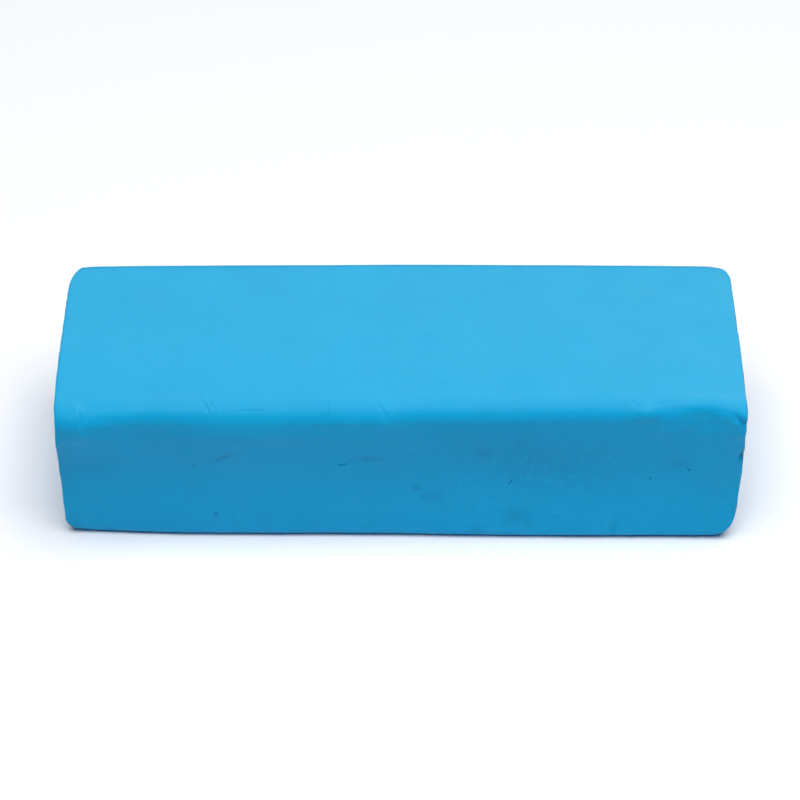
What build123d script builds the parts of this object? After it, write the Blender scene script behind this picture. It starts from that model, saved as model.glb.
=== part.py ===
"""A bar of detailing clay, the kneadable putty that lifts grit off car paint.

The bar is one homogeneous extrusion cut to length: it has no core, shell, fastener or joint.
Row frame in millimetres: X along the bar, +Z up, origin at the middle of the flat underside.
"""

import os

from build123d import *

# Driving dimensions, in millimetres
LENGTH = 108.0  # over the crowns of the two cut ends
WIDTH = 36.5  # over the crowns of the two flanks
HEIGHT = 29.0  # from the flat underside to the crown of the top

# Soft clay bulges as it settles, so every face but the underside stands proud in its middle
END_CROWN = 0.6
FLANK_CROWN = 0.4
TOP_CROWN = 0.5

# Edge rounding
CORNER_RADIUS = 4.0  # the four upright edges, where the flanks meet the cut ends
TOP_EDGE_RADIUS = 3.6  # the rim of the top, rounded by handling
BASE_EDGE_RADIUS = 2.4  # the rim of the underside, squeezed flatter by the bar's own weight

# Worked out from the above
end_foot = LENGTH / 2 - END_CROWN  # half the length at the corners of the plan
flank_foot = WIDTH / 2 - FLANK_CROWN  # half the width at the underside and at the shoulders
shoulder_height = HEIGHT - TOP_CROWN  # where the flanks reach the top


def crowned_outline(corners, crowns):
    """Adds a face to the sketch: its sides run anticlockwise, each an arc proud of its chord by its crown."""
    with BuildLine() as outline:
        for start, end, crown in zip(corners, corners[1:] + corners[:1], crowns):
            if crown:
                SagittaArc(start, end, -crown)
            else:
                Line(start, end)
    make_face(outline.edges())


with BuildPart() as clay_block:
    # The section that leaves the extruder and settles: flat below, crowned on the other three sides
    with BuildSketch(Plane.YZ):
        crowned_outline(
            [
                (-flank_foot, 0),
                (flank_foot, 0),
                (flank_foot, shoulder_height),
                (-flank_foot, shoulder_height),
            ],
            [0, FLANK_CROWN, TOP_CROWN, FLANK_CROWN],
        )
    extrude(amount=LENGTH / 2, both=True)

    # The plan trims the extrusion to length, with both cut ends bulging
    with BuildSketch(Plane.XY):
        crowned_outline(
            [
                (-end_foot, -WIDTH / 2),
                (end_foot, -WIDTH / 2),
                (end_foot, WIDTH / 2),
                (-end_foot, WIDTH / 2),
            ],
            [0, END_CROWN, 0, END_CROWN],
        )
    extrude(amount=HEIGHT, mode=Mode.INTERSECT)

    # The upright edges first, so that the rims of the top and the underside are smooth loops
    upright_edges = clay_block.edges().filter_by(
        lambda edge: edge.bounding_box().size.Z > shoulder_height / 2
    )
    fillet(upright_edges, radius=CORNER_RADIUS)
    fillet(clay_block.faces().sort_by(Axis.Z)[-1].edges(), radius=TOP_EDGE_RADIUS)
    fillet(clay_block.faces().sort_by(Axis.Z)[0].edges(), radius=BASE_EDGE_RADIUS)

clay_block.part.label = "clay_block"

os.makedirs("parts", exist_ok=True)
export_step(clay_block.part, "parts/clay_block.step")

size = clay_block.part.bounding_box().size
print(f"clay_block: {size.X:.2f} x {size.Y:.2f} x {size.Z:.2f} mm, {clay_block.part.volume / 1000:.2f} cm3")
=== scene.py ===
"""A bar of blue detailing clay lying on a pale floor.

The bar is one soft block, so its looks are one dense mesh: a rounded box whose faces bulge, whose edges
wander, and whose skin carries the dents, folds, drag marks and nicks that handling leaves in soft clay.
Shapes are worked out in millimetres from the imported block's box and are put into the scene in metres.
"""

import math

import bmesh
import bpy
import numpy as np
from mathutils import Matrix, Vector, noise


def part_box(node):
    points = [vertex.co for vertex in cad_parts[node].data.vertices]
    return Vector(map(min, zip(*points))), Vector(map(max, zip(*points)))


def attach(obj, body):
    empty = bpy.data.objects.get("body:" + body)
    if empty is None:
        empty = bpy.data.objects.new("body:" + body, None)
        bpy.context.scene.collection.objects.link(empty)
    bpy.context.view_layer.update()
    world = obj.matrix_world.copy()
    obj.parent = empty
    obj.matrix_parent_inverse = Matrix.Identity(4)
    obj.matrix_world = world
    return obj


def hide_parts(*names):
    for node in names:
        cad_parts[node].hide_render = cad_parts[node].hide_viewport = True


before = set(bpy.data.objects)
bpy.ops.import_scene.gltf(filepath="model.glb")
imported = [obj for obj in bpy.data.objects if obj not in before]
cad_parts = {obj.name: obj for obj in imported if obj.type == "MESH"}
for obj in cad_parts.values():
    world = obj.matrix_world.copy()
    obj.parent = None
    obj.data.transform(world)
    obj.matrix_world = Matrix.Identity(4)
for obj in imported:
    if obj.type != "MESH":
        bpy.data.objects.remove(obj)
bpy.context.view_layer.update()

NODE = "clay_block"
BODY = "root"
MM = 0.001

block_low, block_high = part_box(NODE)
CENTRE = (block_low + block_high) / 2
HALF = np.array((block_high - block_low) / 2) / MM  # half length, half width and half height, in mm
LENGTH = 2 * HALF[0]

# ---------------------------------------------------------------- the block before handling

CROWN = np.array([0.75, 0.4, 0.25])  # mm that the faces may bulge by, so the plain bar starts smaller
CORE = HALF - CROWN  # half sizes of the plain bar
DROP = CROWN[2]  # mm that the plain bar sits low, so that its underside is on the floor

# The bar is extruded, so its long edges are round, and it is cut to length, so its end edges are crisp.
# Long edge radius in mm by side (y, z), at the left end and at the right end
LONG_RADII = {
    (-1, 1): (3.0, 2.8),
    (1, 1): (2.9, 2.7),
    (-1, -1): (1.7, 2.1),
    (1, -1): (2.8, 2.6),
}
CUT_RADIUS = 0.4  # of the edges round the two cut ends

# Places where the cut ends are pressed in at their edges, or stand out where depth is negative:
# end (-1 left, 1 right), y and z in mm from the middle, half width, half height, depth
PRESSES = [
    (-1, 18.2, 14.5, 3.6, 9.0, 2.0),
    (1, 18.2, 14.5, 2.2, 7.0, 2.4),
    (-1, -17.5, 11.5, 4.0, 3.5, 0.25),
    (-1, -18.0, -14.5, 60.0, 1.5, 1.8),
    (1, -18.0, -13.8, 60.0, 1.3, 1.4),
    (1, -18.0, -13.8, 60.0, 3.0, 1.0),
    (1, -18.0, 1.0, 5.0, 7.0, -0.3),
]
PRESS_REACH = 5.0  # mm along the bar over which a press fades out

GRID_SPACING = 0.5  # mm between grid lines on the flat parts
LONG_STRIP, LONG_STEPS = 3.3, 8  # mm of grid, and cells, over half of a long edge's rounding
CUT_STRIP, CUT_STEPS = 0.6, 4  # the same for the edges round the cut ends
CUT_SHARE = 2 / 3  # share of the long strips' cells that turn the corner again on the cut ends


def smooth(low, high, value):
    """0 up to low, 1 from high on, and a smooth step between. Low may lie above high."""
    t = np.clip((value - low) / (high - low), 0, 1)
    return t * t * (3 - 2 * t)


def bell(value):
    """1 where value is 0, and fading to 0 on both sides."""
    return np.exp(-value * value)


def stations(half, strip, steps):
    """Grid lines along one axis, in mm from its middle, with a strip of them beside each edge."""
    flat = half - strip
    inner = np.linspace(-flat, flat, round(2 * flat / GRID_SPACING) + 1)
    outer = flat + strip * np.arange(1, steps + 1) / steps
    return np.concatenate([-outer[::-1], inner, outer])


def box_grid():
    """Vertices, in mm from the block's middle, and quads of a gridded sharp box."""
    strips = [(CUT_STRIP, CUT_STEPS), (LONG_STRIP, LONG_STEPS), (LONG_STRIP, LONG_STEPS)]
    lines = [stations(half, *strip) for half, strip in zip(CORE, strips)]
    ids = np.full([len(line) for line in lines], -1)
    shell = np.zeros(ids.shape, bool)
    for axis in range(3):
        for side in (0, -1):
            np.moveaxis(shell, axis, 0)[side] = True
    ids[shell] = np.arange(shell.sum())
    points = np.stack([line[i] for line, i in zip(lines, np.nonzero(shell))], axis=1)
    quads = []
    for axis in range(3):
        for side in (0, -1):
            sheet = ids.take(side, axis=axis)
            corners = np.stack([sheet[:-1, :-1], sheet[1:, :-1], sheet[1:, 1:], sheet[:-1, 1:]], axis=-1)
            corners = corners.reshape(-1, 4)
            outward = (side == -1) != (axis == 1)
            quads.append(corners if outward else corners[:, ::-1])
    return points, np.concatenate(quads)


class Skin:
    """Where points of the sharp box land on the plain bar, and their places on its unrolled skin.

    along is the distance along the bar, and over the distance round its section from the front top edge:
    positive over the top and down the back, negative down the front flank. Both are in mm. outward points
    away from the section's middle. grip is 1 on the extruded skin and falls to 0 inside the cut ends, and
    cut is 0 on the extruded skin and 1 on the cut ends. end is -1 or 1 on the cut ends and their edges.
    """

    def __init__(self, points):
        share = np.clip(points / CORE, -1, 1)
        radius = np.zeros(len(points))
        for (y_side, z_side), (left, right) in LONG_RADII.items():
            weight = (1 + share[:, 1] * y_side) * (1 + share[:, 2] * z_side) / 4
            radius += weight * (left + (right - left) * (1 + share[:, 0]) / 2)

        # The section: a rounded rectangle, filled in on the cut ends
        flat = CORE[1:] - LONG_STRIP
        section = points[:, 1:]
        beyond = np.clip((np.abs(section) - flat) / LONG_STRIP, 0, 1)
        ring = beyond.max(axis=1)  # 1 on the extruded skin
        aim = np.sign(section) * np.tan(beyond / np.maximum(ring, 1e-9)[:, None] * math.pi / 4)
        facing = aim / np.maximum(np.linalg.norm(aim, axis=1), 1e-9)[:, None]
        middle = np.clip(section / flat, -1, 1) * (CORE[1:] - radius[:, None])

        # The cut ends: a small rounding turns from the skin into the end
        end = np.sign(points[:, 0]) * (np.abs(points[:, 0]) > CORE[0] - CUT_STRIP)
        lead = np.clip((np.abs(points[:, 0]) - CORE[0] + CUT_STRIP) / CUT_STRIP, 0, 1)
        inner = 1 - CUT_SHARE
        turn = (lead + np.clip((1 - ring) / CUT_SHARE, 0, 1)) * math.pi / 4
        reach = np.where(ring >= inner, radius - CUT_RADIUS * (1 - np.cos(turn)),
                         (radius - CUT_RADIUS) * ring / inner)
        x = np.clip(points[:, 0] / (CORE[0] - CUT_STRIP), -1, 1) * (CORE[0] - CUT_RADIUS)
        x += end * CUT_RADIUS * np.sin(turn)

        self.points = np.column_stack([x, middle + reach[:, None] * facing])
        self.points[:, 2] -= DROP
        self.share = self.points / HALF  # from -1 to 1 along each axis
        self.outward = np.column_stack([np.zeros(len(x)), facing])
        self.grip = smooth(0, inner, ring)
        self.end = end
        self.cut = smooth(0.25, 0.8, np.abs(end) * np.sin(turn))

        # Unrolling: 0 on the front flank, a quarter turn on the top, half a turn on the back
        bend = np.arctan2(facing[:, 1], -facing[:, 0])
        bend[bend < -0.51 * math.pi] += 2 * math.pi
        across = (middle[:, 0] + CORE[1] - radius) * np.where(bend > 0, 1, -1)
        down = (CORE[2] - radius - middle[:, 1]) * np.where(bend > 0.75 * math.pi, 1, -1)
        self.over = radius * (bend - math.pi / 4) + across + down
        self.along = x

    def axes(self, along, over, angle):
        """Distances in mm from a place on the skin, along a direction at angle degrees and across it."""
        c, s = math.cos(math.radians(angle)), math.sin(math.radians(angle))
        u = self.along - along
        v = self.over - over
        return c * u + s * v, c * v - s * u


# ---------------------------------------------------------------- dents, folds and marks

# Dents and swellings: along, over, half length, half width, height, angle
DENTS = [
    # The thumb's dent in the front top edge near the right end, and the clay that it pushed aside
    (46.6, -1.3, 3.4, 1.5, -0.6, 4),
    (37.9, -0.5, 2.0, 1.2, 0.75, 0),
    (42.7, -7.5, 0.9, 4.0, 0.14, 4),
    (44.6, -5.2, 1.4, 1.2, -0.16, 30),
    (47.4, -3.2, 2.6, 0.8, -0.28, 24),
    (32.2, 1.6, 1.3, 1.1, -0.10, 0),
    # The right corner beyond it, which stands proud
    (53.4, -0.4, 1.3, 1.4, 0.45, 0),
    (52.2, -4.2, 1.3, 1.2, 0.42, 0),
    # The left end of the front flank, which stands out under its top edge
    (-53.6, -5.4, 3.0, 2.8, 0.45, 0),
    (-47.0, -4.2, 3.0, 2.4, 0.2, 0),
    # Swellings along the front top edge
    (-38.5, 0.1, 7.5, 1.9, 0.30, 0),
    (-25.0, -4.4, 13.0, 2.2, 0.38, 0),
    (40.5, -3.8, 3.0, 1.9, 0.25, 0),
    (48.5, 0.2, 5.0, 1.9, 0.45, 0),
    # Uneven squeezing of the front flank
    (-47.5, -12.0, 3.4, 2.6, -0.10, 10),
    (43.0, -12.0, 2.0, 1.8, -0.10, 0),
    (49.5, -13.5, 0.9, 3.4, 0.09, 0),
    (49.0, -13.5, 4.0, 3.6, 0.35, 0),
    (-43.0, -24.5, 7.0, 3.0, 0.12, 0),
    (33.4, -6.0, 0.6, 1.8, 0.07, 0),
    (32.4, -3.8, 0.6, 1.6, -0.08, 0),
    (26.0, -12.0, 7.0, 6.0, -0.16, 0),
    (12.0, -10.0, 7.0, 5.0, -0.08, 0),
    (-12.0, -14.0, 12.0, 6.0, 0.08, 0),
    # Finger dents in the back, and the swelling that they left
    (-22.0, 47.0, 6.0, 4.5, -0.30, 12),
    (-4.0, 49.0, 5.0, 4.0, -0.22, -8),
    (19.0, 52.0, 9.0, 5.0, 0.22, 0),
    (41.0, 42.0, 5.0, 3.0, -0.25, 20),
    (-46.0, 38.5, 3.0, 2.0, -0.30, 0),
]

# Creases and drag marks: along, over, half length, half width, depth, angle
DRAGS = [
    (-30.0, 1.4, 1.7, 0.30, 0.10, -60),
    (-29.0, 1.5, 1.6, 0.26, 0.09, -60),
    (-28.0, 1.4, 1.3, 0.26, 0.04, -58),
    (-24.8, 2.2, 1.6, 0.32, 0.04, -60),
    (-22.6, 0.4, 2.6, 0.18, 0.05, 0),
    (-11.3, -0.4, 2.4, 0.28, 0.10, 86),
    (-9.0, -2.0, 1.8, 0.34, 0.07, -66),
    (-8.4, 2.4, 1.4, 0.30, 0.04, -56),
    (-3.0, 0.8, 2.4, 0.30, 0.08, -58),
    (-4.6, 2.2, 1.8, 0.26, 0.04, -54),
    (0.8, -2.0, 2.4, 0.32, 0.05, -16),
    (11.0, -2.0, 4.0, 0.22, 0.035, 3),
    (35.6, 1.4, 1.7, 0.30, 0.06, -50),
    (52.8, -2.0, 1.9, 0.42, 0.36, -44),
    (-27.4, -9.8, 2.1, 0.30, 0.06, 33),
    (-4.8, -10.6, 2.2, 0.34, 0.05, 0),
    (-10.0, -22.0, 3.2, 0.20, 0.03, 2),
    (33.9, -24.6, 1.4, 0.50, 0.10, 90),
    (-8.4, -5.0, 2.0, 0.30, 0.03, -72),
    # Faint scuffs on the top
    (-28.7, 32.4, 1.8, 0.22, 0.025, 14),
    (5.9, 18.0, 0.9, 0.20, 0.03, -50),
    (12.8, 19.4, 0.7, 0.18, 0.02, -30),
    (29.0, 9.8, 1.4, 0.26, 0.03, 60),
    (-39.5, 5.8, 1.6, 0.24, 0.025, 20),
    # Drag marks on the back
    (8.0, 43.0, 3.0, 0.30, 0.08, 30),
    (10.5, 43.6, 2.4, 0.26, 0.06, 32),
    (-31.0, 53.0, 2.2, 0.30, 0.09, -24),
    (34.0, 50.0, 3.6, 0.24, 0.05, 5),
    (-12.0, 40.0, 2.2, 0.28, 0.07, -60),
]

# Folds, which rise slowly on one side and drop sharply on the other:
# along, over, half length, half width, height, angle
FOLDS = [
    (-49.1, -1.8, 3.6, 0.7, 0.8, -79),
]

# Nicks and pits, small and sharp: along, over, half length, half width, depth, angle
NICKS = [
    (-9.2, -11.9, 0.60, 0.065, 0.16, 6),
    (-8.5, -11.7, 0.45, 0.06, 0.10, 22),
    (17.3, -16.2, 0.60, 0.06, 0.16, 62),
    (45.1, -13.2, 0.30, 0.09, 0.20, -38),
    (39.2, -15.3, 0.28, 0.10, 0.18, -35),
    (24.3, -23.4, 0.45, 0.07, 0.12, -4),
    (-29.2, -22.9, 0.16, 0.20, 0.12, 0),
    (18.4, -7.2, 0.22, 0.10, 0.10, 0),
    (18.9, -10.0, 0.14, 0.12, 0.08, 0),
    (-32.2, -12.2, 0.14, 0.14, 0.07, 0),
    (52.9, -9.8, 0.35, 0.85, 0.30, 0),
    (-37.0, 48.0, 0.55, 0.07, 0.15, 50),
    (27.0, 45.0, 0.40, 0.08, 0.15, -20),
]

# Darker patches, partly dirt rubbed into the surface and partly painted shade: along, over, half length,
# half width, darkness, angle
DIRT_AND_SHADE_PATCHES = [
    # Painted shade over the upper front flank, under its top edge
    (12.0, -8.0, 24.0, 7.0, 0.10, 0),
    (-34.0, -8.0, 18.0, 7.0, 0.05, 0),
    # Painted shade on the left end of the front flank and at its bottom corner
    (-54.0, -12.0, 2.5, 9.0, 0.22, 0),
    (-52.3, -27.0, 1.8, 1.5, 0.16, 0),
    # Painted shade in the nicks and grooves that these sit on
    (-32.2, -12.4, 0.32, 0.30, 0.25, 0),
    (-29.2, -23.1, 0.34, 0.40, 0.35, 0),
    (52.9, -9.9, 0.45, 1.2, 0.35, 0),
    (-27.4, -9.8, 2.2, 0.5, 0.30, 33),
    (-4.6, -10.4, 2.0, 0.5, 0.26, 0),
    # Small blotches of dirt on the front flank
    (2.5, -17.4, 0.6, 0.6, 0.42, 30),
    (3.8, -19.2, 0.6, 0.6, 0.26, 0),
    (6.0, -19.2, 0.7, 0.5, 0.22, 0),
    (12.9, -9.4, 1.2, 0.9, 0.20, 0),
    (18.0, -23.2, 1.8, 1.3, 0.26, 20),
    (20.4, -24.4, 0.5, 1.4, 0.22, 0),
    (12.0, -26.0, 1.0, 0.8, 0.22, 0),
    # Painted shade in the broad dent at the right of the front flank
    (26.0, -11.5, 5.0, 4.0, 0.08, 0),
    (20.0, -13.0, 4.5, 6.0, 0.09, 0),
    # A broad darker patch lower on the front flank
    (6.0, -17.0, 3.0, 5.0, 0.05, 0),
    # Painted shade in the dents and the groove that these sit on
    (43.6, -12.0, 1.4, 1.0, 0.16, 0),
    (-48.0, -12.0, 3.0, 2.0, 0.08, 0),
    (33.9, -25.4, 0.7, 1.4, 0.20, 0),
]

# Where the skin is worn most: along, over, half length, half width, wear, angle
RUBBED = (22.0, -15.0, 15.0, 8.0, 0.6, 0)

# Waves of the skin: height in mm, and size of the features in mm along each axis
WAVES = [
    (0.16, (22, 14, 12)),
    (0.035, (6, 4, 4)),
    (0.012, (2.2, 1.6, 1.6)),
]

# How far in mm the front flank stands out under its top edge: an even overhang, then bells by place along
# the bar, half length and rise, and steps by where they start, where they are complete and their rise
OVERHANG = 1.55
OVERHANG_BELLS = [(-48.5, 3.5, 0.65), (-42.5, 3.0, 0.3), (-26.0, 12.0, 0.35), (-2.0, 4.0, 0.25)]
OVERHANG_STEPS = [
    (-49.5, -52.0, 0.4),
    (-1.5, 3.5, -0.35),
    (15.0, 30.0, -0.2),
    (34.0, 42.0, -0.15),
    (47.5, 50.5, 0.5),
]
SETBACK = 0.75  # mm that the whole front flank is set back, before it stands out at its top and base


def dent(skin, along, over, half_length, half_width, height, angle):
    """Height in mm of a soft swelling, or a dent where height is negative."""
    u, v = skin.axes(along, over, angle)
    return height * bell(u / half_length) * bell(v / half_width)


def groove(skin, along, over, half_length, half_width, depth, angle, lip):
    """Height in mm of a short groove with a raised lip along each side, where soft clay was pushed aside."""
    u, v = skin.axes(along, over, angle)
    run = 1 - smooth(0.4 * half_length, 1.1 * half_length + half_width, np.abs(u))
    return depth * run * (lip * bell((np.abs(v) - 2 * half_width) / half_width) - bell(v / half_width))


def fold(skin, along, over, half_length, half_width, height, angle):
    """Height in mm of a fold that rises over six half widths and then drops over one."""
    u, v = skin.axes(along, over, angle)
    run = 1 - smooth(0.3 * half_length, 1.3 * half_length, np.abs(u))
    return height * run * bell(v / np.where(v < 0, 6 * half_width, half_width))


def near(skin, marks, margin):
    """Which points lie within margin of any of the marks."""
    found = np.zeros(len(skin.along), bool)
    for along, over, half_length, half_width, _, angle in marks:
        u, v = skin.axes(along, over, angle)
        found |= (np.abs(u) < half_length + margin) & (np.abs(v) < half_width + margin)
    return found & (skin.cut < 0.5)


def ripple(points, sizes, seed):
    """Smooth noise from about -1 to 1 with features as large as sizes, in mm along each axis."""
    scale = 1 / np.broadcast_to(sizes, 3)
    offset = np.array([17.3, 5.1, 9.7]) * seed
    return np.array([noise.noise(Vector(place)) for place in points * scale + offset])


def overhang(along):
    """How far in mm the front flank stands out under its top edge, at places along the bar."""
    reach = np.full(len(along), OVERHANG)
    for place, half_length, rise in OVERHANG_BELLS:
        reach += rise * bell((along - place) / half_length)
    for start, finish, rise in OVERHANG_STEPS:
        reach += rise * smooth(start, finish, along)
    return reach


def settle(skin):
    """How far in mm each point moves as the plain bar bulges, sags and is pressed at its ends."""
    x, y, z = skin.share.T
    front, back, upper, lower = smooth(0, 1, -y), smooth(0, 1, y), smooth(0, 1, z), smooth(0, 1, -z)
    moves = np.zeros((len(x), 3))

    # The front flank stands out under its top edge and towards its base, and is hollow between
    lip = overhang(skin.along) * smooth(-0.3, 0.8, z)
    base = (0.58 + 0.5 * x - 0.45 * smooth(-0.6, -0.95, x)) * np.clip(0.1 - z, 0, 1) ** 2
    moves[:, 1] -= front * (lip + base - SETBACK)

    # The back is fullest halfway along and at its base, and slightly hollow above its middle
    moves[:, 1] += back * (CROWN[1] * (1 - x**2) + 0.3 * smooth(-0.2, -0.95, z))
    moves[:, 1] -= back * 0.15 * bell((z - 0.2) / 0.5)

    # The top swells in its middle and falls away towards the front, most of all at the left corner
    moves[:, 2] += upper * 1.2 * CROWN[2] * (1 - x**2) * (1 - y**2)
    moves[:, 2] -= upper * 0.6 * bell((y + 1) / 0.4)
    moves[:, 2] -= upper * 0.3 * bell((x + 1) / 0.12) * bell((y + 1) / 0.35)

    # The top's back corners are worn down, and the underside lifts a little at both ends
    from_end = 1 - np.abs(x)
    moves[:, 2] -= upper * (0.27 + 0.13 * x) * bell(from_end / 0.04) * bell((y - 1) / 0.4)
    moves[:, 2] += lower * (0.25 - 0.05 * x) * bell(from_end / 0.07)

    # The cut ends bulge in their middle and are pressed in at their edges
    moves[:, 0] += 0.7 * CROWN[0] * skin.end * (1 - skin.grip) * (1 - y**2) * (1 - z**2)
    for end, y_middle, z_middle, half_width, half_height, depth in PRESSES:
        strength = smooth(CORE[0] - PRESS_REACH, CORE[0], end * skin.along)
        strength *= bell((skin.points[:, 1] - y_middle) / half_width)
        strength *= bell((skin.points[:, 2] - z_middle) / half_height)
        moves[:, 0] -= end * depth * strength
    return moves


def relief(skin):
    """Height in mm of the skin's marks and of the cut ends' wire marks, then dirt with painted shade, and
    wear, from 0 to 1.
    """
    # The waves are weaker on the top, which is rolled smooth
    height = np.zeros(len(skin.along))
    for seed, (wave_height, sizes) in enumerate(WAVES, 1):
        height += wave_height * ripple(skin.points, sizes, seed)
    height *= 1 - 0.75 * np.maximum(skin.outward[:, 2], 0)
    for mark in DENTS:
        height += dent(skin, *mark)
    for mark in DRAGS:
        height += groove(skin, *mark, lip=0.4)
    for mark in NICKS:
        height += groove(skin, *mark, lip=0.3)
    for mark in FOLDS:
        height += fold(skin, *mark)

    # The wire that cut the bar to length dragged lines down each end and left broad steps across it
    wire = 0.07 * ripple(skin.points, (9, 1.3, 18), 4) + 0.1 * ripple(skin.points, (9, 30, 3), 5)

    dirt_and_shade = np.zeros(len(height))
    for mark in DIRT_AND_SHADE_PATCHES:
        dirt_and_shade += dent(skin, *mark)
    # Painted shade inside each nick's hollow
    for mark in NICKS:
        dirt_and_shade += dent(skin, *mark[:4], 0.5, mark[5])

    # The sides are more worn than the top, most of all the right half of the front flank
    worn = 0.4 * np.abs(skin.outward[:, 1]) + dent(skin, *RUBBED)
    return height, wire, np.clip(dirt_and_shade, 0, 1) * (1 - skin.cut), np.clip(worn, 0, 1)


def cut_finer(bm, marks, margin, cuts):
    """Divides the grid's cells within margin mm of the marks."""
    centres = np.array([face.calc_center_median() for face in bm.faces])
    chosen = near(Skin(centres), marks, margin)
    edges = {edge for face, wanted in zip(bm.faces, chosen) if wanted for edge in face.edges}
    bmesh.ops.subdivide_edges(bm, edges=list(edges), cuts=cuts, use_grid_fill=True)


def make_block():
    """The bar's mesh, with its dirt and painted shade (red), wear (green) and cut ends (blue) in a colour
    attribute.
    """
    points, quads = box_grid()
    mesh = bpy.data.meshes.new("clay_bar")
    mesh.from_pydata(points.tolist(), [], quads.tolist())

    bm = bmesh.new()
    bm.from_mesh(mesh)
    cut_finer(bm, DRAGS + NICKS + FOLDS, margin=0.9, cuts=1)
    cut_finer(bm, NICKS, margin=0.3, cuts=3)
    bmesh.ops.triangulate(bm, faces=[face for face in bm.faces if len(face.verts) > 4])
    bm.to_mesh(mesh)
    bm.free()

    places = np.empty(3 * len(mesh.vertices))
    mesh.vertices.foreach_get("co", places)
    skin = Skin(places.reshape(-1, 3))
    height, wire, dirt_and_shade, worn = relief(skin)
    shaped = skin.points + settle(skin) + (height * skin.grip)[:, None] * skin.outward
    shaped[:, 0] += wire * skin.end * skin.cut
    shaped[:, 2] = np.maximum(shaped[:, 2], -HALF[2])
    mesh.vertices.foreach_set("co", (shaped * MM + np.array(CENTRE)).ravel())
    mesh.polygons.foreach_set("use_smooth", np.ones(len(mesh.polygons), bool))

    layer = mesh.color_attributes.new("handling", "FLOAT_COLOR", "POINT")
    shades = np.stack([dirt_and_shade, worn, skin.cut, np.ones(len(dirt_and_shade))], axis=1)
    layer.data.foreach_set("color", shades.ravel())
    mesh.update()
    mesh.validate()

    bar = bpy.data.objects.new("clay_bar", mesh)
    bpy.context.scene.collection.objects.link(bar)
    return bar


# ---------------------------------------------------------------- materials

CLAY_BLUE = (0.004, 0.322, 0.622)
FLOOR_COLOUR = (0.875, 0.89, 0.955, 1)
FLOOR_REACH = 0.32  # metres
CLEAN, FULL_DIRT_AND_SHADE = 1.0, 0.35  # brightness of the clean, unshaded clay, and under full dirt and painted shade


class Nodes:
    """A short way to add nodes to a material's tree and to link them."""

    def __init__(self, material):
        material.use_nodes = True
        self.tree = material.node_tree
        self.shader = self.tree.nodes["Principled BSDF"]

    def add(self, kind, inputs=None, **settings):
        node = self.tree.nodes.new("ShaderNode" + kind)
        for name, value in settings.items():
            setattr(node, name, value)
        for name, value in (inputs or {}).items():
            self.join(value, node.inputs[name])
        return node

    def join(self, value, socket):
        if isinstance(value, bpy.types.NodeSocket):
            self.tree.links.new(value, socket)
        else:
            socket.default_value = value


def make_clay():
    """Satin blue clay, mottled and faintly streaked along the bar, with a fine grain, dirty marks and
    painted shade.
    """
    material = bpy.data.materials.new("clay")
    n = Nodes(material)
    place = n.add("TexCoord").outputs["Object"]

    def pattern(size, detail, stretch=(1, 1, 1)):
        """Noise from 0 to 1 with features of about size mm, stretched along each axis."""
        spot = n.add("VectorMath", {0: place, 1: stretch}, operation="DIVIDE").outputs[0]
        scale = 1 / (size * MM)
        return n.add("TexNoise", {"Vector": spot, "Scale": scale, "Detail": detail}).outputs["Fac"]

    def spread(value, low, high):
        return n.add("MapRange", {"Value": value, "From Min": 0.3, "From Max": 0.7, "To Min": low,
                                  "To Max": high}).outputs[0]

    def times(a, b):
        return n.add("Math", {0: a, 1: b}, operation="MULTIPLY").outputs[0]

    broad = spread(pattern(14, 2), 0.975, 1.02)
    mottle = spread(pattern(2.4, 3), 0.985, 1.01)
    streaks = spread(pattern(0.8, 2, (14, 1, 1)), 0.985, 1.01)
    shade = times(times(broad, mottle), streaks)
    # The attribute's red is dirt with painted shade, and darkens the clay
    handling = n.add("Attribute", attribute_name="handling").outputs["Color"]
    dirt_and_shade, worn, cut = n.add("SeparateColor", {"Color": handling}).outputs
    dirt_and_shade_brightness = n.add("MapRange", {"Value": dirt_and_shade, "To Min": CLEAN, "To Max": FULL_DIRT_AND_SHADE}).outputs[0]
    specks = times(spread(pattern(0.42, 3), -0.11, 0.11), worn)
    shade = times(times(shade, dirt_and_shade_brightness), n.add("Math", {0: specks, 1: 1.0}, operation="ADD").outputs[0])
    colour = n.add("VectorMath", {0: CLAY_BLUE, "Scale": shade}, operation="SCALE").outputs[0]
    n.join(colour, n.shader.inputs["Base Color"])

    n.join(spread(pattern(5, 3), 0.43, 0.53), n.shader.inputs["Roughness"])
    n.shader.inputs["Specular IOR Level"].default_value = 0.095

    grain = n.add("Bump", {"Height": pattern(0.5, 3), "Distance": 0.00004, "Strength": 0.35})
    skin = n.add("Bump", {"Height": pattern(1.6, 2, (2.5, 1, 1)), "Distance": 0.0001, "Strength": 0.2,
                          "Normal": grain.outputs[0]})
    wire = n.add("Bump", {"Height": times(pattern(0.45, 2, (1, 1, 22)), cut), "Distance": 0.0002,
                          "Strength": 0.35, "Normal": skin.outputs[0]})
    n.join(wire.outputs[0], n.shader.inputs["Normal"])
    return material


def make_floor():
    """A plain pale floor: a disc whose far edge nearly matches the room behind it in the camera's view."""
    mesh = bpy.data.meshes.new("floor")
    bm = bmesh.new()
    bmesh.ops.create_circle(bm, cap_ends=True, segments=96, radius=FLOOR_REACH)
    bm.to_mesh(mesh)
    bm.free()
    floor = bpy.data.objects.new("floor", mesh)
    bpy.context.scene.collection.objects.link(floor)
    material = bpy.data.materials.new("floor")
    shader = Nodes(material).shader
    shader.inputs["Base Color"].default_value = FLOOR_COLOUR
    shader.inputs["Roughness"].default_value = 0.9
    shader.inputs["Specular IOR Level"].default_value = 0.0
    mesh.materials.append(material)


# ---------------------------------------------------------------- camera and lights

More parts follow.
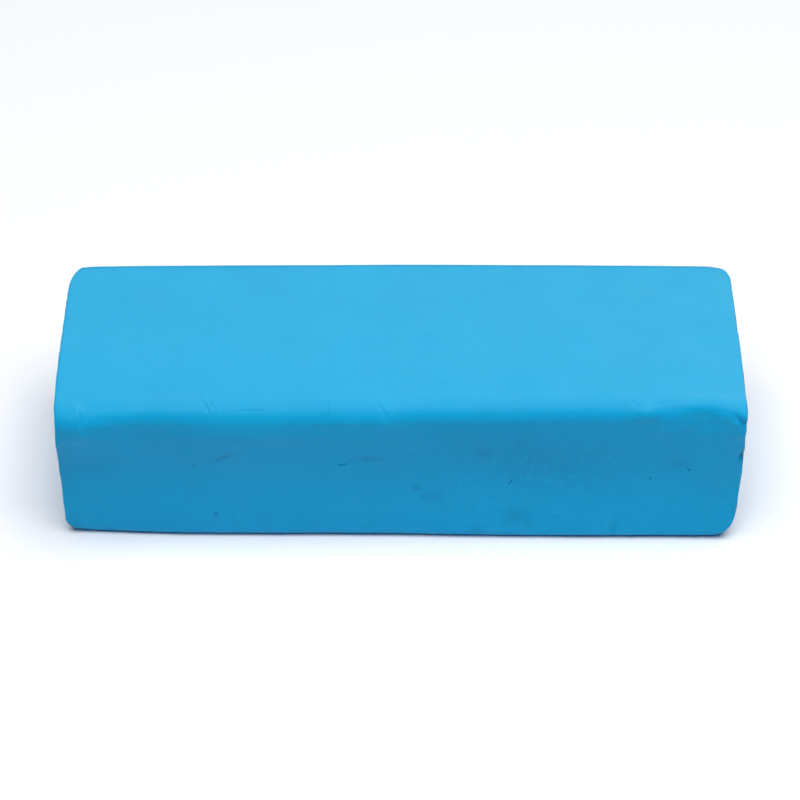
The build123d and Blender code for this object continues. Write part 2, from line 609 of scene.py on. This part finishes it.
VIEW_ELEVATION = 41.5  # degrees above the floor
VIEW_DISTANCE = 4.3 * LENGTH * MM  # metres from the bar's middle
SENSOR = 36.0  # mm
FOCAL_SHARE = 3.61  # focal length in picture widths
AIM_SHIFT = -0.0036  # vertical shift of the picture, in picture widths

ROOM_LIGHT = 0.02  # strength of the room as a light
ROOM_SEEN = 0.97  # strength of the room that the camera sees behind the floor

# Softboxes: name, place and size in metres, radiance. Their light has full red and green, and the blue given
KEY = ("key", (0.05, -0.18, 0.88), (0.9, 0.7), 6.15)
KEY_BLUE = 0.97
PANELS = [
    ("wide_panel", (0, 0.98, 1.0), (1.8, 1.5), 2.9),
    ("right_panel", (0.51, 0.83, 1.0), (1.0, 1.5), 2.7),
]
PANEL_BLUE = 0.55


def make_camera():
    data = bpy.data.cameras.new("camera")
    data.sensor_width = SENSOR
    data.lens = FOCAL_SHARE * SENSOR
    data.clip_start, data.clip_end = 0.01, 20
    data.shift_y = AIM_SHIFT
    camera = bpy.data.objects.new("camera", data)
    bpy.context.scene.collection.objects.link(camera)
    tilt = math.radians(VIEW_ELEVATION)
    back = Vector((0, -math.cos(tilt), math.sin(tilt)))
    camera.location = CENTRE + back * VIEW_DISTANCE
    camera.rotation_euler = (-back).to_track_quat("-Z", "Y").to_euler()
    bpy.context.scene.camera = camera


def make_softbox(name, place, size, radiance, blue):
    """A rectangular light that faces the bar."""
    data = bpy.data.lights.new(name, "AREA")
    data.shape = "RECTANGLE"
    data.size, data.size_y = size
    data.color = (1, 1, blue)
    data.energy = radiance * math.pi * size[0] * size[1]
    lamp = bpy.data.objects.new(name, data)
    bpy.context.scene.collection.objects.link(lamp)
    lamp.location = place
    lamp.rotation_euler = (-lamp.location).to_track_quat("-Z", "Y").to_euler()
    return lamp


def make_light():
    """A softbox overhead, two tall panels behind the bar that light only its sheen, and a dim room."""
    world = bpy.data.worlds.new("studio")
    world.use_nodes = True
    bpy.context.scene.world = world
    tree = world.node_tree
    room = tree.nodes["Background"]
    room.inputs["Color"].default_value = (1, 1, 1, 1)
    path = tree.nodes.new("ShaderNodeLightPath")
    strength = tree.nodes.new("ShaderNodeMapRange")
    strength.inputs["To Min"].default_value = ROOM_LIGHT
    strength.inputs["To Max"].default_value = ROOM_SEEN
    tree.links.new(path.outputs["Is Camera Ray"], strength.inputs["Value"])
    tree.links.new(strength.outputs[0], room.inputs["Strength"])
    make_softbox(*KEY, KEY_BLUE)
    for panel in PANELS:
        make_softbox(*panel, PANEL_BLUE).visible_diffuse = False
    bpy.context.scene.view_settings.view_transform = "Standard"


make_camera()
make_floor()
make_light()
bar = make_block()
bar.data.materials.append(make_clay())
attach(bar, BODY)
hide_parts(NODE)
